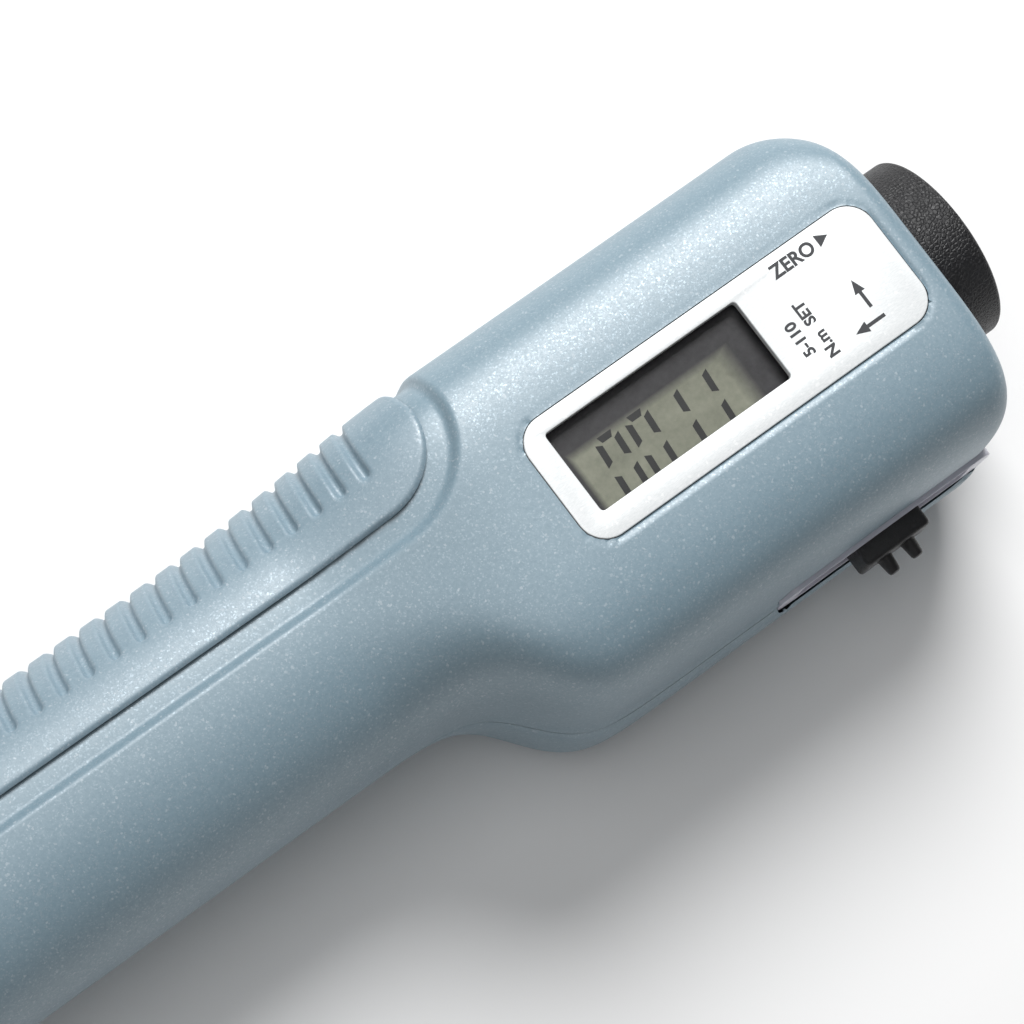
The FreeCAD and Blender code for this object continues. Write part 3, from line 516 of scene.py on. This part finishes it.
def shell_depth(x, y, z):
    s = pad_distance(x, y)
    groove = 1.0 * (1 - smooth(s, GROOVE_W - 1.1, GROOVE_W + 0.25))
    p = plate_distance(x, y)
    rim = np.where((z > 38) & (p > 0), roll_off(p, 0.55), 0.0)
    q = slot_distance(x, z)
    lip = np.where((y < -18) & (q > 0), roll_off(q, 0.7) * 0.9, 0.0)
    seam = 0.22 * np.exp(-((z - SPLIT_Z) / 0.35) ** 2)
    return groove + rim + lip + seam


def pad_depth(x, y, z):
    s = -pad_distance(x, y)
    edge = roll_off(s, 0.7)
    lean = math.tan(math.radians(17.0))
    q = x + lean * (z - (AXIS_Z + 13)) - (PLATE_X - 66.2)
    off = np.abs(q - NOTCH_PITCH * np.round(q / NOTCH_PITCH))
    first = (q < NOTCH_PITCH / 2) & (x > PAD_X0 + 10)
    top_end = np.where(z > AXIS_Z, np.maximum(0, 14.9 - y) * 1.15, np.maximum(0, (AXIS_Z - 12.9) - z))
    d = np.hypot(off, top_end) - 0.62
    cut = np.where(first, 0.80 * (1 - smooth(d, -0.38, 0.30)), 0.0)
    return np.minimum(edge + cut, 1.4)


# ------------------------------------------------------------------ shells and pad
U = PLATE_X
FINE_X = U - 124                        # the rings are closer from here to the butt
shell_x = stations([
    (GRIP_X0, GRIP_X0 + 0.5, 0.1), (GRIP_X0 + 0.5, GRIP_X0 + 5, 0.35), (GRIP_X0 + 5, FINE_X, 0.9),
    (FINE_X, POD_END - 4.5, 0.42), (POD_END - 4.5, POD_END - 0.6, 0.3), (POD_END - 0.6, POD_END, 0.08),
])
skin = closed_skin("skin", surface(shell_x, 340, shell_depth), SHELL)
core_x = stations([(GRIP_X0 + WALL, POD_END - WALL, 2.0)])
pad_plan = rounded(PAD_X0, PAD_X1, PAD_Y, 60, PAD_R, 16)
plate_way = rounded(U - PLATE_L - 0.1, U + 0.1, -PLATE_W / 2 - 0.1, PLATE_W / 2 + 0.1, PLATE_R)
open_way = rounded(WIN[0] - 1.0, WIN[1] + 1.0, WIN[2] - 1.2, WIN[3] + 1.1, 0.4, 4)
slot_way = rounded(SLOT_X0, SLOT_X1, SPLIT_Z - SLOT_H / 2, SPLIT_Z + SLOT_H / 2, SLOT_R)
door_way = rounded(CELL_X - DOOR_L / 2, CELL_X + DOOR_L / 2, -DOOR_W / 2, DOOR_W / 2, 3.0)
everywhere = [(0, -60), (500, -60), (500, 60), (0, 60)]
core = closed_skin("core", surface(core_x, 90, None, WALL), SHELL)
combine(skin, core, "DIFFERENCE")
cutters = [
    outline_prism("pad_way", pad_plan, -5, 60),
    outline_prism("plate_way", plate_way, PLATE_Z, 60),
    outline_prism("open_way", open_way, 30, 60),
    outline_prism("knob_way", circle(0, AXIS_Z, KNOB_R + 0.4), POD_END - WALL - 1, POD_END + 1, "x"),
    outline_prism("tube_way", circle(0, AXIS_Z, TUBE_WAY_R), GRIP_X0 - 1, GRIP_X0 + WALL + 1, "x"),
    outline_prism("slot_way", slot_way, -60, TRACK_Y, "y"),
    outline_prism("door_way", door_way, -5, 3.5),
    outline_prism("below", everywhere, -60, 0),
]
for x, y in SHELL_SCREWS:
    cutters.append(outline_prism("screw_way", circle(x, y, SCREW_WAY_R, 32), -5, HEAD_REST))
for cutter in cutters:
    combine(skin, cutter, "DIFFERENCE")
upper_skin = copy_of(skin, "upper_skin")
combine(upper_skin, outline_prism("half", everywhere, SPLIT_Z + 0.05, 90), "INTERSECT")
lower_skin = skin
lower_skin.name = "lower_skin"
combine(lower_skin, outline_prism("half", everywhere, -60, SPLIT_Z - 0.05), "INTERSECT")
for obj, node in ((upper_skin, "upper_shell"), (lower_skin, "lower_shell")):
    sharpen(obj, 38)
    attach(obj, "handle")
    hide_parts(node)

pad_x = stations([(GRIP_X0 + 7, FINE_X, 0.36), (FINE_X, PAD_X1 + 1.5, 0.27)])
pad_skin = closed_skin("pad_skin", surface(pad_x, 380, pad_depth), PAD)
fit = 0.03                              # the pad's outline is this much wider than its hole
pad_area = rounded(PAD_X0 - fit, PAD_X1 + fit, PAD_Y - fit, 60, PAD_R + fit, 16)
combine(pad_skin, outline_prism("pad_area", pad_area, -5, 60), "INTERSECT")
combine(pad_skin, closed_skin("pad_core", surface(core_x, 90, None, PAD_T + 0.8), PAD), "DIFFERENCE")
for x, y in GRIP_SCREWS:
    combine(pad_skin, outline_prism("screw_way", circle(x, y, SCREW_WAY_R, 32), -5, HEAD_REST), "DIFFERENCE")
sharpen(pad_skin, 50)
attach(pad_skin, "handle")
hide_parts("rib_pad")


# ------------------------------------------------------------------ lathed and softened pieces
def lathe(name, profile, material, steps=128, axis="x"):
    """Turned body about the tube's axis from (along, radius) points, first and last on the axis."""
    verts, rows = [], []
    for along, radius in profile:
        if radius < 1e-6:
            rows.append([len(verts)])
            verts.append((along, 0.0, AXIS_Z))
            continue
        rows.append(list(range(len(verts), len(verts) + steps)))
        for k in range(steps):
            turn = 2 * math.pi * k / steps
            verts.append((along, radius * math.cos(turn), AXIS_Z + radius * math.sin(turn)))
    faces = []
    for a, b in zip(rows, rows[1:]):
        for k in range(steps):
            n = (k + 1) % steps
            if len(a) == 1:
                faces.append((a[0], b[k], b[n]))
            elif len(b) == 1:
                faces.append((a[k], b[0], a[n]))
            else:
                faces.append((a[k], b[k], b[n], a[n]))
    obj = make_object(name, verts, faces, material)
    fix_normals(obj)
    sharpen(obj, 35)
    return obj


def fillet_steps(x, r, radius, steps=8):
    """Profile points of a rounded outer edge at the +X end of a turned face."""
    turns = [math.radians(90 * k / steps) for k in range(steps + 1)]
    return [(x - radius + radius * math.sin(t), r - radius + radius * math.cos(t)) for t in turns]


knob_x0 = PLATE_X - 13.5
knob_profile = [(knob_x0, 0.0), (knob_x0, 4.2), (knob_x0 + 0.0, KNOB_R - 0.3), (knob_x0 + 0.3, KNOB_R)]
knob_profile += fillet_steps(OVERALL_L, KNOB_R, 0.75, 10)
knob_profile += [(OVERALL_L, KNOB_R - 2.2), (OVERALL_L - 0.25, KNOB_R - 2.6), (OVERALL_L - 0.25, 0.0)]
knob_skin = lathe("knob_skin", knob_profile, KNOB_BLACK, 192)
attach(knob_skin, "knob")
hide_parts("end_knob")


def soften(obj, width, segments=3, angle=40):
    mod = obj.modifiers.new("soft edges", "BEVEL")
    mod.width, mod.segments = width * MM, segments
    mod.limit_method, mod.angle_limit = "ANGLE", math.radians(angle)
    mod.harden_normals = False
    done = baked(obj)
    obj.modifiers.remove(mod)
    obj.data = done
    sharpen(obj, 45)
    return obj


plate_plan = rounded(U - PLATE_L, U, -PLATE_W / 2, PLATE_W / 2, PLATE_R - 0.1, 14)
window_plan = rounded(WIN[0], WIN[1], WIN[2], WIN[3], 0.5, 4)
plate_skin = outline_prism("plate_skin", plate_plan, PLATE_Z, TOP_Z)
combine(plate_skin, outline_prism("window_way", window_plan, 30, 60), "DIFFERENCE")
paint(plate_skin, PLATE)
soften(plate_skin, 0.16)
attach(plate_skin, "handle")
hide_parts("display_plate")

# Slide button with its two pegs.
button_y = -POD_Y_SLIDE - SLIDER_OUT
rub = TRACK_Y - TRACK_T - 0.2
button_plan = rounded(SLIDER_X - SLIDER_L / 2, SLIDER_X + SLIDER_L / 2,
                      SPLIT_Z - SLIDER_H / 2, SPLIT_Z + SLIDER_H / 2, 0.7, 4)
button = outline_prism("slider_skin", button_plan, button_y, rub, "y")
soften(button, 0.55, 4)
stem_x, stem_z = 2.0, 0.9
stem_plan = [(SLIDER_X + a * stem_x, SPLIT_Z + b * stem_z) for a, b in ((-1, -1), (1, -1), (1, 1), (-1, 1))]
stem = outline_prism("stem", stem_plan, rub - 0.4, -POD_Y_SLIDE + WALL + LIP + 1.1, "y")
combine(button, stem, "UNION")
PEG = ((0.4, 1.15), (0.0, 1.12), (-0.25, 1.0), (-1.9, 0.82), (-2.2, 0.68), (-2.3, 0.45))
for x in (SLIDER_X - 1.8, SLIDER_X + 1.8):
    rows = []
    for step, r in PEG:
        rows.append([(px, button_y + step, pz) for px, pz in circle(x, SPLIT_Z, r, 32)])
    peg = closed_skin("peg", np.array(rows), BLACK)
    fix_normals(peg)
    combine(button, peg, "UNION")
paint(button, BLACK)
sharpen(button, 35)
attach(button, "slider")
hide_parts("lock_slider")


# Pale rim of the slider's track, with room for the button's travel.
free = 0.08                             # the rim stands this far off the slot's wall
rim_z = SLOT_H / 2 - free
travel_x, travel_z = 13.1, SLIDER_H / 2 + 0.15
rim_plan = rounded(SLOT_X0 + free, SLOT_X1 - free, SPLIT_Z - rim_z, SPLIT_Z + rim_z, SLOT_R - free)
travel_plan = rounded(SLIDER_X - travel_x, SLIDER_X + travel_x,
                      SPLIT_Z - travel_z, SPLIT_Z + travel_z, 0.8, 4)
rim = outline_prism("track_rim", rim_plan, -POD_Y_SLIDE + 0.45, TRACK_Y - 0.02, "y")
combine(rim, outline_prism("travel", travel_plan, -60, TRACK_Y + 1, "y"), "DIFFERENCE")
paint(rim, TRACK)
soften(rim, 0.12)
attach(rim, "handle")


# ------------------------------------------------------------------ edges of the turned and milled nodes
def softened(node, body, width):
    """A copy of a plain node with its sharp edges rounded, standing for the node."""
    source = frame["nodes"][node]
    mesh = source.data.copy()
    mesh.transform(source.matrix_world)
    bm = bmesh.new()
    bm.from_mesh(mesh)
    bmesh.ops.remove_doubles(bm, verts=bm.verts, dist=0.000002)
    bmesh.ops.dissolve_limit(bm, angle_limit=math.radians(0.6), verts=bm.verts, edges=bm.edges)
    bm.to_mesh(mesh)
    bm.free()
    obj = bpy.data.objects.new(node + "_soft", mesh)
    bpy.context.scene.collection.objects.link(obj)
    if width:
        soften(obj, width, 2, 35)
    sharpen(obj, 35)
    mod = obj.modifiers.new("even shading", "WEIGHTED_NORMAL")
    mod.keep_sharp = True
    done = baked(obj)
    obj.modifiers.remove(mod)
    obj.data = done
    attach(obj, body)
    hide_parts(node)


softened("shaft_tube", "handle", 0.0)
softened("battery_door", "handle", 0.15)
softened("drive_gear", "drive", 0.0)
softened("head_body", "head", 0.5)
softened("head_cover", "head", 0.25)
softened("reversing_lever", "reverser", 0.3)
softened("front_collar", "handle", 0.25)


# ------------------------------------------------------------------ screws
def screw_tree():
    """Pan-head screws with a cross recess, one on each point, heads towards -Z."""
    tree = bpy.data.node_groups.new("cross screws", "GeometryNodeTree")
    face = tree.interface
    face.new_socket("Geometry", in_out="INPUT", socket_type="NodeSocketGeometry")
    for title, size in (("Head Radius", SCREW_HEAD_R), ("Head Height", SCREW_HEAD_H),
                        ("Shank Radius", SCREW_SHANK_R), ("Shank Length", SCREW_SHANK_L)):
        socket = face.new_socket(title, in_out="INPUT", socket_type="NodeSocketFloat")
        socket.default_value = size * MM
    face.new_socket("Material", in_out="INPUT", socket_type="NodeSocketMaterial")
    face.new_socket("Geometry", in_out="OUTPUT", socket_type="NodeSocketGeometry")
    add = lambda kind: tree.nodes.new(kind)
    link = tree.links.new
    entry, leave = add("NodeGroupInput"), add("NodeGroupOutput")
    value = entry.outputs

    def worked(op, a, b):
        n = add("ShaderNodeMath")
        n.operation = op
        for socket, v in zip(n.inputs, (a, b)):
            if isinstance(v, float):
                socket.default_value = v
            else:
                link(v, socket)
        return n.outputs[0]

    def rod(radius, length, low):
        n = add("GeometryNodeMeshCylinder")
        n.inputs["Vertices"].default_value = 48
        link(radius, n.inputs["Radius"])
        link(length, n.inputs["Depth"])
        spot, move = add("ShaderNodeCombineXYZ"), add("GeometryNodeTransform")
        link(worked("ADD", low, worked("MULTIPLY", length, 0.5)), spot.inputs["Z"])
        link(n.outputs["Mesh"], move.inputs["Geometry"])
        link(spot.outputs[0], move.inputs["Translation"])
        return move.outputs[0]

    def blade(turned):
        n, move = add("GeometryNodeMeshCube"), add("GeometryNodeTransform")
        size, spot = add("ShaderNodeCombineXYZ"), add("ShaderNodeCombineXYZ")
        long = worked("MULTIPLY", value["Head Radius"], 1.2)
        thin = worked("MULTIPLY", value["Head Radius"], 0.28)
        link(thin if turned else long, size.inputs["X"])
        link(long if turned else thin, size.inputs["Y"])
        link(value["Head Height"], size.inputs["Z"])
        link(size.outputs[0], n.inputs["Size"])
        link(worked("MULTIPLY", value["Head Height"], -1.0), spot.inputs["Z"])
        link(n.outputs["Mesh"], move.inputs["Geometry"])
        link(spot.outputs[0], move.inputs["Translation"])
        return move.outputs[0]

    low = worked("MULTIPLY", value["Head Height"], -1.0)
    head = rod(value["Head Radius"], value["Head Height"], low)
    shank_low = worked("MULTIPLY", value["Head Height"], -0.3)
    shank = rod(value["Shank Radius"], worked("SUBTRACT", value["Shank Length"], shank_low), shank_low)
    body, cross = add("GeometryNodeMeshBoolean"), add("GeometryNodeMeshBoolean")
    body.operation = "UNION"
    cross.operation = "DIFFERENCE"
    for part in (head, shank):
        link(part, body.inputs["Mesh 2"])
    link(body.outputs["Mesh"], cross.inputs["Mesh 1"])
    for turned in (False, True):
        link(blade(turned), cross.inputs["Mesh 2"])
    place, real = add("GeometryNodeInstanceOnPoints"), add("GeometryNodeRealizeInstances")
    coat = add("GeometryNodeSetMaterial")
    link(value["Geometry"], place.inputs["Points"])
    link(cross.outputs["Mesh"], place.inputs["Instance"])
    link(place.outputs[0], real.inputs["Geometry"])
    link(real.outputs[0], coat.inputs["Geometry"])
    link(value["Material"], coat.inputs["Material"])
    link(coat.outputs[0], leave.inputs[0])
    return tree


SCREW_TREE = screw_tree()


def screws(name, body, node, places, material):
    """Screws with their heads down, at (x, y, z of the face under the head)."""
    mesh = bpy.data.meshes.new(name)
    mesh.from_pydata([(x * MM, y * MM, z * MM) for x, y, z in places], [], [])
    obj = bpy.data.objects.new(name, mesh)
    bpy.context.scene.collection.objects.link(obj)
    mod = obj.modifiers.new("screws", "NODES")
    mod.node_group = SCREW_TREE
    values = {"Head Radius": SCREW_HEAD_R * MM, "Head Height": SCREW_HEAD_H * MM,
              "Shank Radius": SCREW_SHANK_R * MM, "Shank Length": SCREW_SHANK_L * MM, "Material": material}
    for item in SCREW_TREE.interface.items_tree:
        if item.in_out == "INPUT" and item.name in values:
            mod[item.identifier] = values[item.name]
    done = baked(obj)
    obj.modifiers.remove(mod)
    obj.data = done
    fix_normals(obj)
    sharpen(obj, 35)
    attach(obj, body)
    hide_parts(node)


screw_slot = slot_of["shell_screws"]
screws("shell_screw_set", "handle", "shell_screws", [(x, y, HEAD_REST) for x, y in SHELL_SCREWS],
       BY_SLOT[screw_slot])


# ------------------------------------------------------------------ print and digits
def flat_shapes(name, shapes, level, thickness, material):
    """Thin raised shapes: outlines in x, y at a level."""
    verts, faces = [], []
    for points in shapes:
        n, base = len(points), len(verts)
        verts += [(x, y, level) for x, y in points] + [(x, y, level + thickness) for x, y in points]
        faces += [tuple(range(base, base + n))[::-1], tuple(range(base + n, base + 2 * n))]
        faces += [(base + k, base + (k + 1) % n, base + n + (k + 1) % n, base + n + k) for k in range(n)]
    obj = make_object(name, verts, faces, material, False)
    fix_normals(obj)
    return obj


def words(name, text, x, y, height, turn, level, material):
    """Plain lettering, x and y at its left foot, turned about Z."""
    curve = bpy.data.curves.new(name, "FONT")
    curve.body = text
    curve.size = height / 0.72 * MM
    curve.extrude = 0.012 * MM
    curve.offset = 0.075 * MM
    curve.resolution_u = 4
    temp = bpy.data.objects.new(name + "_curve", curve)
    bpy.context.scene.collection.objects.link(temp)
    bpy.context.view_layer.update()
    mesh = baked(temp)
    bpy.data.objects.remove(temp)
    spin = Matrix.Rotation(math.radians(turn), 4, "Z")
    mesh.transform(Matrix.Translation((x * MM, y * MM, level * MM)) @ spin)
    mesh.materials.clear()
    mesh.materials.append(material)
    obj = bpy.data.objects.new(name, mesh)
    bpy.context.scene.collection.objects.link(obj)
    return obj


def arrow(x, y, dx, dy, length, wide=0.46, head=1.2):
    """Outline of an arrow from its tail."""
    nx, ny = -dy, dx
    at = lambda a, b: (x + dx * a + nx * b, y + dy * a + ny * b)
    neck = length - head * 1.5
    barb = head / 2 + 0.12
    return [at(0, -wide / 2), at(neck, -wide / 2), at(neck, -barb), at(length, 0),
            at(neck, barb), at(neck, wide / 2), at(0, wide / 2)]


ink_z = TOP_Z + 0.004
marks = flat_shapes("plate_marks", [
    [(U - 7.3, 5.5), (U - 5.7, 6.35), (U - 7.3, 7.2)],
    arrow(U - 6.85, -3.7, 0, 1, 4.0),
    arrow(U - 6.1, -5.34, -1, 0, 4.4),
], TOP_Z - 0.02, 0.03, PRINT)
pieces = [marks,
          words("plate_zero", "ZERO", U - 14.2, 5.45, 1.75, 0, ink_z, PRINT),
          words("plate_range", "5-110", U - 15.7, -4.3, 1.45, 90, ink_z, PRINT),
          words("plate_unit", "N.m  SET", U - 13.3, -6.0, 1.45, 90, ink_z, PRINT)]
for obj in pieces:
    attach(obj, "handle")


def digit(left, low, lit):
    """Seven-segment digit leaning a little to the right."""
    wide, tall, bar, gap = 3.4, 8.6, 0.84, 0.16
    lean = math.tan(math.radians(5))
    put = lambda pts: [(left + px + lean * py, low + py) for px, py in pts]
    half = tall / 2
    tip, shoulder, inner = bar * 0.6 + gap, bar * 1.2, bar * 1.3
    upright = [(0, tall - tip), (0, half + gap + 0.4), (bar, half + bar * 0.7 + 0.4), (bar, tall - inner)]
    across = [(tip, tall), (wide - tip, tall), (wide - shoulder, tall - bar), (shoulder, tall - bar)]
    over = lambda pts: [(px, tall - py) for px, py in pts]
    beside = lambda pts: [(wide - px, py) for px, py in pts]
    spots = {"a": across, "d": over(across), "f": upright, "e": over(upright),
             "b": beside(upright), "c": beside(over(upright))}
    return [put(spots[k]) for k in lit]


LCD_TOP = PLATE_Z - LENS_T
segments = []
for left, lit in ((44.3, "abcdef"), (39.9, "abcdef"), (35.5, "bc"), (31.2, "bc")):
    segments += digit(U - left, -6.0, lit)
digits = flat_shapes("lcd_digits", segments, LCD_TOP - 0.03, 0.05, SEGMENT)
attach(digits, "handle")

# ------------------------------------------------------------------ floor, light and camera
floor_mesh = bpy.data.meshes.new("floor")
floor_mesh.from_pydata([(-3, -3, 0), (3, -3, 0), (3, 3, 0), (-3, 3, 0)], [], [(0, 1, 2, 3)])
floor = bpy.data.objects.new("floor", floor_mesh)
bpy.context.scene.collection.objects.link(floor)
ft = Tree("pale floor")
fp = ft.place()
floor_color = ft.mix(ft.noise(fp, 3.0), (0.90, 0.90, 0.90, 1), (0.93, 0.93, 0.93, 1))
floor_mesh.materials.append(ft.finish(Base_Color=floor_color, Roughness=0.9))

world = bpy.data.worlds.new("studio")
bpy.context.scene.world = world
world.use_nodes = True
world.node_tree.nodes["Background"].inputs[0].default_value = (1.0, 1.0, 1.0, 1.0)
world.node_tree.nodes["Background"].inputs[1].default_value = 0.16


def area(name, place, target, size, power, color=(1, 1, 1)):
    light = bpy.data.lights.new(name, "AREA")
    light.shape, light.size, light.energy, light.color = "DISK", size, power, color
    obj = bpy.data.objects.new(name, light)
    obj.location = place
    obj.rotation_euler = (Vector(target) - Vector(place)).to_track_quat("-Z", "Y").to_euler()
    bpy.context.scene.collection.objects.link(obj)


aim = (0.34, 0.0, 0.03)
area("key", (0.60, 0.42, 0.61), aim, 0.42, 6.6)
area("top", (0.05, 0.10, 1.0), aim, 0.8, 2.6)

cam = bpy.data.cameras.new("camera")
cam.sensor_width, cam.lens = 36.0, 158.3
cam.clip_start, cam.clip_end = 0.05, 20
cam_obj = bpy.data.objects.new("camera", cam)
right = Vector((0.78946, -0.59850, 0.13621))
up = Vector((0.55867, 0.79255, 0.24443))
back = right.cross(up)
cam_obj.matrix_world = Matrix((
    (right[0], up[0], back[0], (U - 188.56) * MM),
    (right[1], up[1], back[1], -59.49 * MM),
    (right[2], up[2], back[2], (AXIS_Z + 517.32) * MM),
    (0, 0, 0, 1)))
bpy.context.scene.collection.objects.link(cam_obj)
bpy.context.scene.camera = cam_obj
bpy.context.scene.view_settings.view_transform = "Standard"
